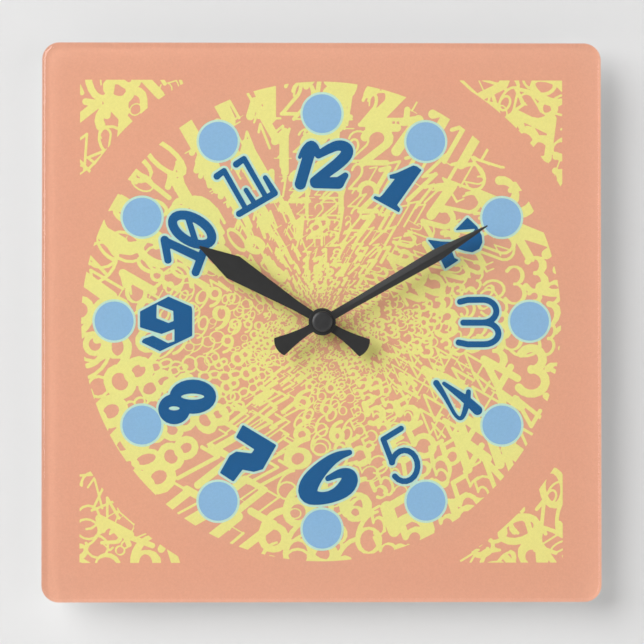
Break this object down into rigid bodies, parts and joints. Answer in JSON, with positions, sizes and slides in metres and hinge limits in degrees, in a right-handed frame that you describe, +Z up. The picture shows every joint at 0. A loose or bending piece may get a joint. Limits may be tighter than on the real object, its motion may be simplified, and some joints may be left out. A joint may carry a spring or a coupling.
{
  "type": "wall clock",
  "caption": "Square wall clock: clear panel over a patterned print, two black hands, quartz movement with battery bay, setting knob and hanging eye on the back.",
  "frame": {"origin": "on the axis of the hands, in the plane of the movement's rear face, which rests on the wall", "axes": "+Y points into the wall, the dial faces -Y; +Z is up towards 12; +X is towards 3"},
  "size_m": [0.273, 0.0313, 0.273],
  "materials": {
    "clear_panel": "polished clear acrylic",
    "dial_print": "satin printed film",
    "black_rubber": "matte",
    "brass": "turned, satin",
    "hand_black": "matte black paint",
    "cap_black": "satin moulded",
    "case_black": "fine moulded grain",
    "white_plastic": "moulded acetal",
    "plate_plastic": "moulded",
    "magnet": "sintered",
    "steel": "drawn",
    "contact_steel": "nickel-plated strip",
    "copper_wire": "enamelled copper winding",
    "board": "solder mask",
    "chip_resin": "potting resin",
    "crystal_can": "drawn can",
    "cell_metal": "nickel-plated can",
    "cell_sleeve": "shrink sleeve"
  },
  "bodies": {
    "clock": {"dial_panel": "clear_panel", "dial_print": "dial_print", "rubber_washer": "black_rubber", "brass_washer": "brass", "hex_nut": "brass", "front_case": "case_black", "rear_case": "case_black", "middle_plate": "plate_plastic", "threaded_bush": "brass", "coil_bobbin": "white_plastic", "coil_winding": "copper_wire", "coil_core": "steel", "stator_plate": "steel", "circuit_board": "board", "chip_cover": "chip_resin", "quartz_crystal": "crystal_can", "contact_positive": "contact_steel", "contact_negative": "contact_steel"},
    "minute_hand": {"minute_hand": "hand_black", "minute_collet": "brass", "minute_arbor": "white_plastic", "clutch_spring": "contact_steel"},
    "hour_hand": {"hour_hand": "hand_black", "hour_collet": "brass", "hour_wheel": "white_plastic"},
    "minute_wheel": {"minute_wheel": "white_plastic"},
    "setting_knob": {"setting_knob": "cap_black"},
    "rotor": {"rotor_magnet": "magnet", "rotor_pinion": "white_plastic"},
    "intermediate_wheel": {"intermediate_wheel": "white_plastic"},
    "seconds_wheel": {"seconds_wheel": "white_plastic", "seconds_arbor": "steel", "centre_cap": "cap_black"},
    "third_wheel": {"third_wheel": "white_plastic"},
    "centre_wheel": {"centre_wheel": "white_plastic"},
    "battery": {"cell_can": "cell_metal", "cell_sleeve": "cell_sleeve", "cell_button": "cell_metal"}
  },
  "joints": [
    {"name": "minute_hand_turn", "type": "hinge", "parent": "clock", "child": "minute_hand", "pos_m": [0, -0.0289, 0], "axis": [0, 1, 0], "continuous": true},
    {"name": "hour_hand_turn", "type": "hinge", "parent": "clock", "child": "hour_hand", "pos_m": [0, -0.0265, 0], "axis": [0, 1, 0], "continuous": true},
    {"name": "minute_wheel_turn", "type": "hinge", "parent": "clock", "child": "minute_wheel", "pos_m": [-0.00328, -0.0111, 0.00902], "axis": [0, 1, 0], "continuous": true},
    {"name": "setting_knob_turn", "type": "hinge", "parent": "clock", "child": "setting_knob", "pos_m": [-0.00195, -0.0013, 0.01853], "axis": [0, 1, 0], "continuous": true},
    {"name": "rotor_turn", "type": "hinge", "parent": "clock", "child": "rotor", "pos_m": [0.01087, -0.0069, 0.01402], "axis": [0, 1, 0], "continuous": true},
    {"name": "intermediate_wheel_turn", "type": "hinge", "parent": "clock", "child": "intermediate_wheel", "pos_m": [0.00935, -0.0027, 0.0054], "axis": [0, 1, 0], "continuous": true},
    {"name": "seconds_wheel_turn", "type": "hinge", "parent": "clock", "child": "seconds_wheel", "pos_m": [0, -0.004, 0], "axis": [0, 1, 0], "continuous": true},
    {"name": "third_wheel_turn", "type": "hinge", "parent": "clock", "child": "third_wheel", "pos_m": [-0.00942, -0.0055, 0.00544], "axis": [0, 1, 0], "continuous": true},
    {"name": "centre_wheel_turn", "type": "hinge", "parent": "clock", "child": "centre_wheel", "pos_m": [0, -0.0082, 0], "axis": [0, 1, 0], "continuous": true},
    {"name": "battery_slide", "type": "slide", "parent": "clock", "child": "battery", "axis": [0, 1, 0], "range_m": [0, 0.02]}
  ],
  "couplings": [
    {"joint": "hour_hand_turn", "follows": "minute_hand_turn", "ratio": 0.083333},
    {"joint": "minute_wheel_turn", "follows": "minute_hand_turn", "ratio": -0.33333},
    {"joint": "setting_knob_turn", "follows": "minute_hand_turn", "ratio": 1},
    {"joint": "intermediate_wheel_turn", "follows": "rotor_turn", "ratio": -0.16667},
    {"joint": "seconds_wheel_turn", "follows": "rotor_turn", "ratio": 0.033333},
    {"joint": "third_wheel_turn", "follows": "rotor_turn", "ratio": -0.0041667},
    {"joint": "centre_wheel_turn", "follows": "rotor_turn", "ratio": 0.00055556}
  ]
}
